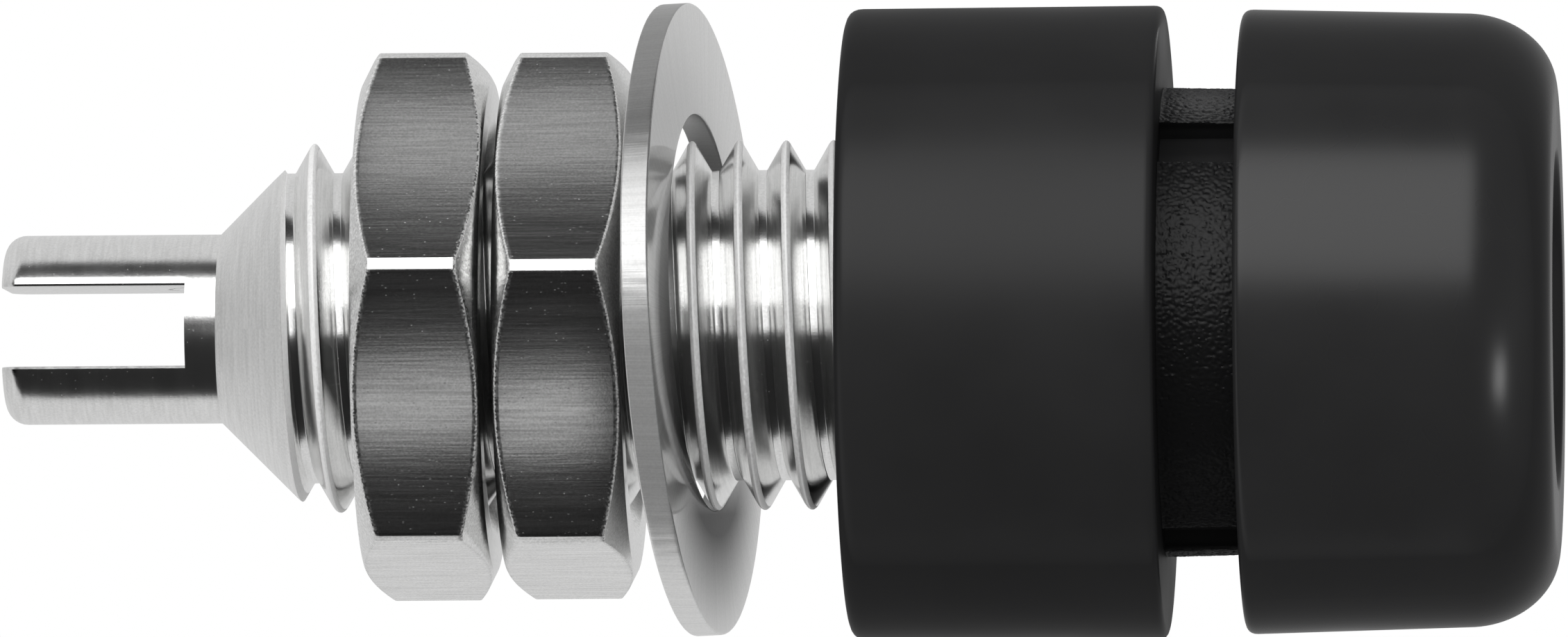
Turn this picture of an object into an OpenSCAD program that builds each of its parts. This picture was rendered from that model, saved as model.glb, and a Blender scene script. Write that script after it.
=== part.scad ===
// Insulated panel socket for a 4 mm plug. A turned contact body carries a moulded head. A keyed
// rear bush, a flat washer and two hexagon nuts slide or screw along its threaded shank.
// The shank's axis is X. The panel seats on the head's rear face, at X = 0, and the plug enters
// from +X. Everything behind the panel is stacked towards -X, one piece after the other.

/* [Head] */
// Diameter at the rear edge
head_d = 9.9; // [9.4:0.02:12]
// Diameter where the front rounding starts
head_front_d = 9.72; // [9.2:0.02:9.8]
// Length from the panel to the front face
head_len = 4.96; // [4.6:0.01:8]
// Length of the front rounding along the axis
head_round_len = 1.44; // [0.8:0.01:2.2]
// Depth of the front rounding across the axis
head_round_depth = 1.19; // [0.8:0.01:1.8]
// Radius of the rear edge
head_edge_r = 0.18; // [0.05:0.01:0.4]
// Thickness of the lip in front of the contact body's flange
head_lip_t = 0.87; // [0.6:0.01:1.6]
// Thickness of the web that holds the flange from behind
head_web_t = 0.5; // [0.3:0.01:1]
// Chamfer round the plug's opening
head_mouth_chamfer = 0.2; // [0.05:0.01:0.3]

/* [Contact body] */
// Bore for the plug's pin
bore_d = 4; // [3.6:0.02:4.3]
// Chamfer at the mouth of the bore
bore_chamfer = 0.3; // [0.05:0.01:0.35]
// Angle of the drill point at the bottom of the bore
drill_angle = 118; // [90:1:140]
// Metal left between the bore's full diameter and the rear end of the thread
bore_floor = 1.5; // [1.3:0.05:6]
// Outer diameter of the nose that shows in the head's opening
nose_d = 5; // [4.8:0.02:5.4]
// How far the nose lies behind the head's front face
nose_set_back = 0.45; // [0.25:0.01:0.6]
// Diameter of the flange that is moulded into the head
flange_d = 7; // [6.4:0.02:7.6]
// Thickness of the flange
flange_t = 0.7; // [0.4:0.01:1]
// Outer diameter of the thread
thread_d = 5.86; // [5.6:0.02:6.1]
// Thread left free behind the rear nut
thread_end_len = 0.87; // [0.2:0.01:8]
// Half angle of the cone between thread and tail
cone_angle = 45; // [30:1:60]
// Diameter of the forked tail
tail_d = 3; // [2.4:0.02:4]
// Length of the forked tail behind the cone
tail_len = 3.43; // [3.1:0.01:8]
// Radius of the tail's tip edge
tail_tip_r = 0.37; // [0.1:0.01:0.6]
// Width of the solder slot
slot_w = 1.26; // [0.6:0.02:1.5]
// Depth of the solder slot
slot_depth = 2.94; // [1:0.02:3]
// Turn of the slot about the axis, from level
slot_turn = -2.6; // [-45:0.1:45]

/* [Rear bush] */
// Diameter of the collar at its front edge
collar_d = 10.05; // [9.6:0.01:12]
// How much smaller the collar is at its rear edge
collar_draft = 0.04; // [0:0.01:0.2]
// Length of the collar
collar_len = 5.02; // [2:0.02:8]
// Radius of the collar's front edge
collar_front_r = 0.15; // [0.05:0.01:0.5]
// Radius of the collar's rear edge
collar_rear_r = 0.25; // [0.05:0.01:0.5]
// Diameter of the neck where it leaves the collar
neck_d = 7.44; // [7.1:0.02:7.8]
// How much smaller the neck is at its free end
neck_draft = 0.12; // [0:0.01:0.16]
// Gap for the panel between head and collar
panel_gap = 1.25; // [0.3:0.05:2.6]
// Keys in the head, and grooves for them in the neck
key_count = 3; // [1:1:6]
// Width of a groove
key_w = 0.98; // [0.6:0.02:1.4]
// Depth of a groove
key_depth = 0.39; // [0.2:0.01:0.5]
// Turn of the first groove about the axis
key_turn = 99; // [0:1:120]

/* [Washer] */
// Outer diameter
washer_d = 10.05; // [8.6:0.01:12]
// Thickness
washer_t = 0.43; // [0.3:0.01:1]
// Radius of the outer edges
washer_edge_r = 0.1; // [0.02:0.01:0.14]
// Turn of the loose washer about the upright
washer_swing = 6.8; // [0:0.1:8]
// Lean of the loose washer, top towards the tail
washer_lean = 2.7; // [0:0.1:4]
// Height of the loose washer's centre over the axis
washer_lift = 0.1; // [0:0.01:0.12]
// Free thread between the collar and the washer's foremost edge
washer_gap = 1.64; // [1.6:0.02:8]

/* [Nuts] */
// Width across the flats
nut_af = 7.93; // [7.4:0.01:10]
// Thickness
nut_t = 2.04; // [1.4:0.01:5]
// Angle of the end chamfers
nut_chamfer_angle = 27; // [15:1:40]
// How much smaller the flat end is than the width across the flats
nut_face_step = 0.16; // [0.06:0.02:0.4]
// How much the six corners are turned down from sharp
nut_corner_step = 0.08; // [0.04:0.02:0.4]
// Countersink of the hole at each end, across the radius
nut_sink = 0.3; // [0.1:0.02:0.4]
// Turn of the front nut about the axis
front_nut_turn = 17.8; // [0:0.1:60]
// Turn of the rear nut about the axis
rear_nut_turn = 17.3; // [0:0.1:60]
// Gap between the front nut and the washer that leans on it
nut_washer_gap = 0.2; // [0.1:0.01:2]
// Gap between the two nuts
nut_gap = 0.2; // [0.1:0.01:4]

/* [Clearances] */
// Nut over thread, across the radius
thread_clearance = 0.05; // [0.03:0.01:0.1]
// Washer over thread, across the radius
washer_clearance = 0.22; // [0.2:0.01:0.5]
// Bush over thread, across the radius
shank_clearance = 0.1; // [0.05:0.01:0.15]
// Neck in the head's recess, across the radius
neck_clearance = 0.08; // [0.04:0.01:0.12]
// Each side of a key in its groove
key_clearance = 0.08; // [0.04:0.01:0.15]
// End of the neck from the floor of the recess with the bush drawn up to the head
neck_end_clearance = 0.1; // [0.05:0.01:0.3]
// Moulded head round the flange and nose
mould_clearance = 0.01; // [0.005:0.005:0.05]

/* [Hidden] */

$fn = 96;
arc_steps = 6;
round_steps = 16;
cut_spare = 1;

metal_colour = [0.76, 0.76, 0.74];
plastic_colour = [0.15, 0.15, 0.16];

thread_r = thread_d / 2;
tail_r = tail_d / 2;

// Stations of the head along X
flange_front_x = head_len - head_lip_t;
flange_rear_x = flange_front_x - flange_t;
recess_depth = flange_rear_x - head_web_t;
nose_x = head_len - nose_set_back;

// The neck's grooves and the head's keys share these radii
neck_len = recess_depth - neck_end_clearance;
recess_r = neck_d / 2 + neck_clearance;
groove_floor_r = neck_d / 2 - key_depth;
key_inner_r = groove_floor_r + key_clearance;
key_pitch = 360 / key_count;

// Stations of the loose pieces along X, each from the piece in front of it
collar_front_x = -panel_gap;
collar_rear_x = collar_front_x - collar_len;
washer_tilt = acos(cos(washer_swing) * cos(washer_lean));
washer_reach = washer_d / 2 * sin(washer_tilt) + washer_t / 2 * cos(washer_tilt);
washer_x = collar_rear_x - washer_gap - washer_reach;
nut_face_r = (nut_af - nut_face_step) / 2;
washer_back = nut_face_r * tan(washer_tilt) + washer_t / 2 / cos(washer_tilt);
front_nut_x = washer_x - washer_back - nut_washer_gap - nut_t;
rear_nut_x = front_nut_x - nut_gap - nut_t;

// Stations of the contact body behind the nuts
thread_end_x = rear_nut_x - thread_end_len;
cone_len = (thread_r - tail_r) / tan(cone_angle);
tail_x = thread_end_x - cone_len;
tip_x = tail_x - tail_len;
bore_end_x = thread_end_x + bore_floor;
drill_len = bore_d / 2 / tan(drill_angle / 2);

// Points along an arc of an ellipse, in the (radius, X) plane of a turned section
function arc(centre, size, from, to, steps) =
    [for (i = [0:steps])
        let (a = from + (to - from) * i / steps)
        [centre.x + size.x * cos(a), centre.y + size.y * sin(a)]];

// Lays a solid that was drawn along Z along the X axis instead
module along_x(x = 0) {
    translate([x, 0, 0])
        rotate([0, 90, 0])
            children();
}

// Turns a section of (radius, X) points about the X axis
module turned(section) {
    along_x()
        rotate_extrude()
            polygon(section);
}

// A radial bar for each key, between two radii and two stations along X
module key_bars(inner_r, outer_r, from_x, to_x, width) {
    along_x(from_x)
        for (i = [0:key_count - 1])
            rotate([0, 0, key_turn + i * key_pitch])
                translate([inner_r, -width / 2, 0])
                    cube([outer_r - inner_r, width, to_x - from_x]);
}

// Brass turning: nose, flange, threaded shank, cone and tail, bored from the front and slotted behind
module contact_body() {
    nose_r = nose_d / 2;
    bore_r = bore_d / 2;
    outside = concat(
        [[0, tip_x]],
        arc([tail_r - tail_tip_r, tip_x + tail_tip_r], [tail_tip_r, tail_tip_r], -90, 0, arc_steps),
        [[tail_r, tail_x],
         [thread_r, thread_end_x],
         [thread_r, flange_rear_x],
         [flange_d / 2, flange_rear_x],
         [flange_d / 2, flange_front_x],
         [nose_r, flange_front_x],
         [nose_r, nose_x]]);
    bore = [
        [bore_r + bore_chamfer, nose_x],
        [bore_r, nose_x - bore_chamfer],
        [bore_r, bore_end_x],
        [0, bore_end_x - drill_len]];
    color(metal_colour)
        difference() {
            turned(concat(outside, bore));
            rotate([slot_turn, 0, 0])
                translate([tip_x - cut_spare, -tail_d, -slot_w / 2])
                    cube([slot_depth + cut_spare, 2 * tail_d, slot_w]);
        }
}

// Moulded head: drafted barrel with a rounded front, moulded round the flange, with a keyed recess
module head() {
    rear_r = head_d / 2;
    front_r = head_front_d / 2;
    nose_r = nose_d / 2 + mould_clearance;
    flange_r = flange_d / 2 + mould_clearance;
    shank_r = thread_r + mould_clearance;
    section = concat(
        [[recess_r, recess_depth], [recess_r, 0]],
        arc([rear_r - head_edge_r, head_edge_r], [head_edge_r, head_edge_r], -90, 0, arc_steps),
        arc([front_r - head_round_depth, head_len - head_round_len],
            [head_round_depth, head_round_len], 0, 90, round_steps),
        [[nose_r + head_mouth_chamfer, head_len],
         [nose_r, head_len - head_mouth_chamfer],
         [nose_r, flange_front_x],
         [flange_r, flange_front_x],
         [flange_r, flange_rear_x],
         [shank_r, flange_rear_x],
         [shank_r, recess_depth]]);
    color(plastic_colour) {
        turned(section);
        intersection() {
            key_bars(key_inner_r, recess_r + cut_spare, 0, recess_depth, key_w - 2 * key_clearance);
            along_x(0)
                cylinder(r = recess_r + head_edge_r, h = recess_depth);
        }
    }
}

// Moulded rear bush: a collar and a grooved neck that reaches through the panel into the head
module rear_bush() {
    shank_r = thread_r + shank_clearance;
    front_r = collar_d / 2;
    rear_r = (collar_d - collar_draft) / 2;
    neck_end_x = collar_front_x + neck_len;
    section = concat(
        [[shank_r, collar_rear_x]],
        arc([rear_r - collar_rear_r, collar_rear_x + collar_rear_r],
            [collar_rear_r, collar_rear_r], -90, 0, arc_steps),
        arc([front_r - collar_front_r, collar_front_x - collar_front_r],
            [collar_front_r, collar_front_r], 0, 90, arc_steps),
        [[neck_d / 2, collar_front_x],
         [(neck_d - neck_draft) / 2, neck_end_x],
         [shank_r, neck_end_x]]);
    color(plastic_colour)
        difference() {
            turned(section);
            key_bars(groove_floor_r, neck_d, collar_front_x, neck_end_x + cut_spare, key_w);
        }
}

// Flat washer, lying loose and tilted on the thread
module washer() {
    outer_r = washer_d / 2;
    hole_r = thread_r + washer_clearance;
    half_t = washer_t / 2;
    corner = [outer_r - washer_edge_r, half_t - washer_edge_r];
    round = [washer_edge_r, washer_edge_r];
    section = concat(
        [[hole_r, -half_t]],
        arc([corner.x, -corner.y], round, -90, 0, arc_steps),
        arc(corner, round, 0, 90, arc_steps),
        [[hole_r, half_t]]);
    color(metal_colour)
        translate([washer_x, 0, washer_lift])
            rotate([0, -washer_lean, -washer_swing])
                turned(section);
}

// Hexagon nut with its rear face at X = 0: a six-sided bar cut by a turned, chamfered outline
module hex_nut(turn) {
    corner_r = nut_af / 2 / cos(30) - nut_corner_step / 2;
    chamfer_len = (corner_r - nut_face_r) * tan(nut_chamfer_angle);
    hole_r = thread_r + thread_clearance;
    outline = [
        [0, 0],
        [nut_face_r, 0],
        [corner_r, chamfer_len],
        [corner_r, nut_t - chamfer_len],
        [nut_face_r, nut_t],
        [0, nut_t]];
    hole = [
        [0, -cut_spare],
        [hole_r + nut_sink + cut_spare, -cut_spare],
        [hole_r, nut_sink],
        [hole_r, nut_t - nut_sink],
        [hole_r + nut_sink + cut_spare, nut_t + cut_spare],
        [0, nut_t + cut_spare]];
    difference() {
        intersection() {
            along_x(-cut_spare)
                rotate([0, 0, turn])
                    cylinder(d = nut_af / cos(30), h = nut_t + 2 * cut_spare, $fn = 6);
            turned(outline);
        }
        turned(hole);
    }
}

// Nut that drives the washer against the bush
module front_nut() {
    color(metal_colour)
        translate([front_nut_x, 0, 0])
            hex_nut(front_nut_turn);
}

// Second nut, which clamps a cable lug against the first
module rear_nut() {
    color(metal_colour)
        translate([rear_nut_x, 0, 0])
            hex_nut(rear_nut_turn);
}

contact_body();
head();
rear_bush();
washer();
front_nut();
rear_nut();
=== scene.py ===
import math

import bmesh
import bpy
import numpy as np
from mathutils import Matrix, Vector, noise


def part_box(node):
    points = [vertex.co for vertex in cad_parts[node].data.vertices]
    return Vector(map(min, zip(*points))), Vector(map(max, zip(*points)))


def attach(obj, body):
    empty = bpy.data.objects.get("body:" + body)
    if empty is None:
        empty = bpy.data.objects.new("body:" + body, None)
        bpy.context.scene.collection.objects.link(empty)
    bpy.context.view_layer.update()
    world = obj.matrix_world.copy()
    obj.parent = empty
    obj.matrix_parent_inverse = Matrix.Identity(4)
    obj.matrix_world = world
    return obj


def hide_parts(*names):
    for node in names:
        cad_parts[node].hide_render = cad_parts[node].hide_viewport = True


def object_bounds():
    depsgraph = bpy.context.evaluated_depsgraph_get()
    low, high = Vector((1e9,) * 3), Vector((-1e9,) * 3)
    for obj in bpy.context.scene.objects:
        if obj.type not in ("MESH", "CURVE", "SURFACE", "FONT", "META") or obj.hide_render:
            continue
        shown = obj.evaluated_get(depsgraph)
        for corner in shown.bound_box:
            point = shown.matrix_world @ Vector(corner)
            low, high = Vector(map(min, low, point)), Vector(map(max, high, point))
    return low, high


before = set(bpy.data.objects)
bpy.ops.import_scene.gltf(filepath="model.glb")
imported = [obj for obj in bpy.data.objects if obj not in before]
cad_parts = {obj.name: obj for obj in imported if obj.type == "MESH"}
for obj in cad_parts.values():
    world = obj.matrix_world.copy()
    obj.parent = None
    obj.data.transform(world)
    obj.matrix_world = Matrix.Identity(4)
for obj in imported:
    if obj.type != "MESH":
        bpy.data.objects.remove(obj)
cad_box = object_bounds()

# Every length below is in millimetres, and MM turns it into the frame's metres. Angles are in degrees.
MM = 0.001

# Contact body: what its box in the frame doesn't give
THREAD_D = 5.86
THREAD_ROOT_D = 4.92
THREAD_PITCH = 0.75
THREAD_CREST_CUT = 0.14
THREAD_ROOT_CUT = 0.014
THREAD_FLANK = 30
THREAD_CREST_AT_TOP = -7.262
THREAD_START_GAP = 0.15
THREAD_STOP_X = 2.2
THREAD_FILL_LEN = 0.5
THREAD_END_GAP = 0.05
CONE_EDGE = 0.03
CONE_FOOT = 0.07
TAIL_D = 3.0
TAIL_LEN = 3.43
TAIL_TIP_R = 0.33
SLOT_W = 1.26
SLOT_DEPTH = 2.94
SLOT_TURN = -2.6
SLOT_EDGE = 0.11
FLANGE_FRONT = 4.09
FLANGE_T = 0.7
FLANGE_EDGE = 0.03
NOSE_D = 5.0
NOSE_EDGE = 0.05
BORE_D = 4.0
BORE_CHAMFER = 0.3
BORE_EDGE = 0.04
BORE_END_X = -13.33
DRILL_ANGLE = 118
DRILL_POINT_R = 0.05

# Head and rear bush. A land is the flat that is kept beside an opening.
HEAD_FRONT_D = 9.72
HEAD_ROUND_LEN = 1.44
HEAD_ROUND_DEPTH = 1.19
HEAD_EDGE_R = 0.18
HEAD_REAR_LAND = 0.3
HEAD_FRONT_LAND = 0.9
MOUTH_CHAMFER = 0.2
MOUTH_EDGE = 0.05
RECESS_DEPTH = 2.89
MOULD_CLEARANCE = 0.01
NECK_D = 7.44
NECK_DRAFT = 0.12
NECK_CLEARANCE = 0.08
PANEL_GAP = 1.25
COLLAR_DRAFT = 0.04
COLLAR_FRONT_R = 0.15
COLLAR_REAR_R = 0.25
COLLAR_FRONT_LAND = 0.25
COLLAR_REAR_LAND = 0.4
SHANK_CLEARANCE = 0.1
KEY_COUNT = 3
KEY_W = 0.98
KEY_DEPTH = 0.39
KEY_CLEARANCE = 0.08
KEY_TURN = 99
KEY_LIP = 0.03
GROOVE_LIP = 0.05
GRAIN_SIZE = 0.045
GRAIN_DEPTH = 0.016
GRAIN_LEVEL = 0.5
GRAIN_LIMIT = 1.4
GRAIN_PAST_GAP = 0.15
GRAIN_END_FADE = 0.05
GRAIN_OVER_FLOOR = 0.25
GRAIN_SIDE_FADE = 0.08

# Washer and nuts
WASHER_D = 10.035
WASHER_T = 0.43
WASHER_CLEARANCE = 0.22
WASHER_EDGE_R = 0.035
WASHER_HOLE_EDGE = 0.03
WASHER_HOLE_LAND = 0.1
WASHER_HOLE_UP = 0.1
WASHER_SWING = 6.8
WASHER_LEAN = 2.7
WASHER_SHEAR_SIZE = 0.09
WASHER_SHEAR_DEPTH = 0.004
WASHER_SHEAR_LEVEL = 0.2
NUT_AF = 7.93
NUT_CORNER_STEP = 0.12
NUT_FACE_STEP = 0.16
NUT_CHAMFER = 27
NUT_SINK = 0.3
NUT_SINK_EDGE = 0.03
NUT_FACE_EDGE = 0.02
NUT_EDGE = 0.032
NUT_CLEARANCE = 0.05
FRONT_NUT_TURN = 17.8
REAR_NUT_TURN = 17.3
BURR_SIZE = 0.024
BURR_DEPTH = 0.012
BURR_WEAR = 1.2

# How finely the pieces are cut into faces
PRONG_COLUMNS = 43
SLOT_COLUMNS = 17
PRONG_ROWS = 7
TIP_ROWS = 9
TAIL_ROWS = 4
THREAD_ROUND_STEPS = 5
RECESS_COLUMNS = 64
KEY_COLUMNS = 8
BARREL_ROWS = 6
HEAD_ROUND_STEPS = 24
NECK_COLUMNS = 300
GROOVE_COLUMNS = 16
GROOVE_WALL_ROWS = 2
GRAIN_ROWS = 62
PLAIN_NECK_ROWS = 6
MOULD_EDGE_STEPS = 6
WASHER_COLUMNS = 640
WASHER_EDGE_STEPS = 5
FLAT_COLUMNS = 181
WELD = 0.0001
SHARP_ANGLE = 32

# Where the finishes change. Each pair says where a change starts and ends.
# The thread's worn crest and the cone's cut edge: duller as worn metal, and whitened in colour as a painted
# highlight.
CREST_WEAR_AND_HIGHLIGHT_DEPTH = (0.066, 0.05)
CONE_WEAR_AND_HIGHLIGHT_START = (-0.09, -0.06)
CONE_WEAR_AND_HIGHLIGHT_END = (-0.018, -0.009)
FLANK_WEAR_AND_HIGHLIGHT = 0.15
FLANK_FACING = (0.2, 0.5)
THREAD_BEADS = 0.75
BURR_BEADS = 0.2
TAIL_FINISH_X = (-15.6, -15.2)
THREAD_LINES = 0.35
RIM_FACING = (0.5, 0.8)
# Painted shade on the washer: high on its rim and in its hole. Also the thread's painted shadow on its face round
# the hole.
RIM_SHADE_HEIGHT = (0.8, 3.2)
RIM_AND_HOLE_SHADE = 0.7
HOLE_WALL_SHADE_RING = (0.3, 0.6)
THREAD_SHADOW_RING = (0.2, 1.75)
THREAD_SHADOW_HEIGHT = (-0.6, 1.6)
THREAD_SHADOW_LEAST = 0.1
DULL_HEIGHT = (-3.0, -2.3)
DULL_LEAST = 0.15
# Where the neck's painted shade ends, outwards towards the collar and inwards towards the groove floors.
NECK_SHADE_OUT = (0.05, 0.2)
NECK_SHADE_IN = (-0.2, -0.1)

# Finishes. Scales are counts in a metre.
FINE_SCALE = 26000
COARSE_SHARE = 0.17
SPECK_EDGE = (0.05, 0.5)
SPECK_ROUGHNESS = 0.15
SPECK_METAL = 0.9
STREAK_RANGE = (0.36, 0.64)
BEAD_RANGE = (0.4, 0.6)
MOULD_CLOUD_SCALE = 420
EDGE_GLOSS = 0.014
EDGE_GLOSS_RANGE = (0.16, 0.36)
# Painted shade: the darker colour of the neck in its recess between the collar and the head.
NECK_SHADE_BLACK = (0.0095, 0.0095, 0.01)

# Studio. The camera sees PHOTO_W pixels at PIXELS_PER_MM across the place that it aims at.
CAMERA_AZIMUTH = 3.4
CAMERA_ELEVATION = 0.0
CAMERA_ROLL = 0.4
CAMERA_DISTANCE = 442.5
CAMERA_CLIP = (10, 10000)
PHOTO_W = 2259
PIXELS_PER_MM = 90.8
SENSOR_W = 36.0
AIM = (-7.32, 0, 0.105)
FLOOR_R = 45
FLOOR_SIDES = 96
FLOOR_GAP = 0.14
FLOOR_STRAIGHT = 12
FLOOR_FADE = (3, 9.5)
FLOOR_WHITE = (0.93, 0.93, 0.93, 1)
FILL_LEVEL = 0.6
BACK_LEVEL = 0.66
FRONT_LEVEL = 0.007
BACK_DEPTH = (0.01, 0.13)
LEFT_REACH = 0.55
RIGHT_REACH = 0.5
SIDE_LEVEL = 0.15
SIDE_FALL = 3.0
LEFT_SHADE = 0.15
LEFT_FALL = 4.0


def box_mm(node):
    """The lowest and highest corner of a node of the frame, in millimetres."""
    low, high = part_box(node)
    return np.array(low) / MM, np.array(high) / MM


# Plain geometry

def soften(points, cuts, steps=3, hold=0.05):
    """Rounds the corners of one or many open outlines: cuts says how far from each corner the round starts.
    Beside a round, a point at the distance hold keeps the flat next to it flat where there is room."""
    points = np.asarray(points, float)
    rounded = []
    for i, cut in enumerate(cuts):
        here = points[..., i, :]
        if not cut:
            rounded.append(here)
            continue
        ends, held = [], []
        for other in (points[..., i - 1, :], points[..., i + 1, :]):
            edge = other - here
            length = np.linalg.norm(edge, axis=-1, keepdims=True)
            ends.append(here + edge * (cut / length))
            roomy = hold and length.min() > 4 * (cut + hold)
            held.append(here + edge * ((cut + hold) / length) if roomy else None)
        arc = [(1 - t) ** 2 * ends[0] + 2 * t * (1 - t) * here + t ** 2 * ends[1]
               for t in np.linspace(0, 1, steps + 1)]
        rounded += [p for p in [held[0], *arc, held[1]] if p is not None]
    return np.stack(rounded, axis=-2)


def as_pairs(points):
    """The rows of an array as a list of pairs."""
    return [tuple(p) for p in points]


def spread(first, last, count):
    """Evenly spaced points of a straight stretch, without its two ends."""
    return as_pairs(np.linspace(first, last, count + 2)[1:-1])


def part_way(first, last, shares):
    """Points at the given shares of the way from one point to another."""
    return first + np.outer(shares, last - first)


def turned(points, angle):
    """(y, z) points turned round the axis by an angle in radians."""
    y, z = points[:, 0], points[:, 1]
    c, s = math.cos(angle), math.sin(angle)
    return np.stack([y * c - z * s, y * s + z * c], axis=1)


def quarter_ellipse(centre, size, steps):
    """(radius, x) points from the widest radius round to the front."""
    angles = np.linspace(0, math.pi / 2, steps + 1)
    return [(centre[0] + size[0] * math.cos(a), centre[1] + size[1] * math.sin(a)) for a in angles]


def soft_least(a, b, width):
    """The lesser of two lengths, with a rounded change from one to the other."""
    share = np.clip(0.5 + (b - a) / (2 * width), 0, 1)
    return b + (a - b) * share - width * share * (1 - share)


def ring_at(loop, x):
    """A (y, z) loop at a station along the axis."""
    return np.column_stack([np.full(len(loop), x), loop])


def turned_rows(section, angles):
    """One ring of points for each (radius, x) point of a section."""
    return [np.stack([np.full(len(angles), x), r * np.cos(angles), r * np.sin(angles)], axis=1)
            for r, x in section]


def round_angles(count, first=0.0):
    """Evenly spaced angles once round the axis."""
    return first + 2 * math.pi * np.arange(count) / count


class Shell:
    """Points and faces of one closed piece, gathered stretch by stretch and welded at the end."""

    def __init__(self):
        self.points = []
        self.faces = []
        self.wear = []

    def add(self, points, wear=0.0):
        """Adds a row of points, with how worn they are from 0 to 1, and returns their numbers."""
        first = len(self.points)
        self.points.extend(np.asarray(points, float))
        self.wear.extend(np.broadcast_to(wear, len(points)))
        return list(range(first, len(self.points)))

    def loft(self, rows, closed=True, wear=None):
        """Joins rows of points, each with as many, by four-sided faces."""
        numbers = [self.add(row, 0.0 if wear is None else wear[i]) for i, row in enumerate(rows)]
        count = len(numbers[0])
        for low, high in zip(numbers, numbers[1:]):
            for k in range(count if closed else count - 1):
                j = (k + 1) % count
                self.faces.append((low[k], low[j], high[j], high[k]))
        return numbers

    def cap(self, numbers):
        """Closes a ring of points with one flat face."""
        self.faces.append(tuple(numbers))

    def piece(self, name, body, node, slot, finish):
        """Makes the object, rides it on its body and lets it stand for its node."""
        mesh = bpy.data.meshes.new(name)
        mesh.from_pydata([tuple(p * MM) for p in self.points], [], self.faces)
        worn = mesh.attributes.new("edge_wear", "FLOAT", "POINT")
        worn.data.foreach_set("value", np.array(self.wear, np.float32))
        shape = bmesh.new()
        shape.from_mesh(mesh)
        bmesh.ops.remove_doubles(shape, verts=shape.verts, dist=WELD * MM)
        bmesh.ops.recalc_face_normals(shape, faces=shape.faces)
        shape.to_mesh(mesh)
        shape.free()
        mesh.polygons.foreach_set("use_smooth", [True] * len(mesh.polygons))
        mesh.set_sharp_from_angle(angle=math.radians(SHARP_ANGLE))
        mesh.materials.append(finish)
        piece = bpy.data.objects.new(name, mesh)
        bpy.context.scene.collection.objects.link(piece)
        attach(piece, body)
        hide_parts(node)
        return piece


# Contact body

def prong_loop(radius, half_slot, edge, arc_count):
    """(y, z) points round the upper prong: its outer arc, then its slot wall, with softened edges."""
    start = math.asin(half_slot / radius) + edge / radius
    arc = np.linspace(start, math.pi - start, arc_count)
    outer = np.stack([radius * np.cos(arc), radius * np.sin(arc)], axis=1)
    reach = math.sqrt(radius ** 2 - half_slot ** 2)
    half_wall = soften([outer[-1], (-reach, half_slot), (0, half_slot)], [0, edge, 0])[1:]
    mirror = half_wall[::-1][1:] * [-1, 1]
    return np.concatenate([outer, half_wall, mirror])


def thread_outline():
    """(x, radius) points of one pitch of the thread, and the number of the falling flank's middle point."""
    tilt = math.radians(THREAD_FLANK)
    root_r = THREAD_ROOT_D / 2
    apex_r = THREAD_D / 2 + THREAD_CREST_CUT * math.cos(tilt) / 2
    flank = (apex_r - root_r) * math.tan(tilt)
    half_pitch = THREAD_PITCH / 2
    outline = soften([(-half_pitch, root_r), (-flank, root_r), (0, apex_r), (flank, root_r), (half_pitch, root_r)],
                     [0, THREAD_ROOT_CUT, THREAD_CREST_CUT, THREAD_ROOT_CUT, 0], THREAD_ROUND_STEPS, hold=0)
    crest = THREAD_ROUND_STEPS + 2
    fall = crest + THREAD_ROUND_STEPS + 1
    rising = part_way(outline[crest - 1], outline[crest], [0.1, 0.9])
    falling = part_way(outline[fall - 1], outline[fall], [0.1, 0.5, 0.9])
    points = np.concatenate([outline[:crest], rising, outline[crest:fall], falling, outline[fall:-1]])
    return points, fall + len(rising) + 1


def snap_to_cone(x, radius, cone_start, middles):
    """Moves the middle row of each falling flank onto the cone's cut, wherever the cut passes through it."""
    over = radius - (cone_start + x)
    turn, column = np.nonzero((over[middles - 1] > 0) & (over[middles + 1] < 0))
    middle = middles[turn]
    before, after = (middle - 1, column), (middle + 1, column)
    share = over[before] / (over[before] - over[after])
    for places in (x, radius):
        places[middle, column] = places[before] + share * (places[after] - places[before])


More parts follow.
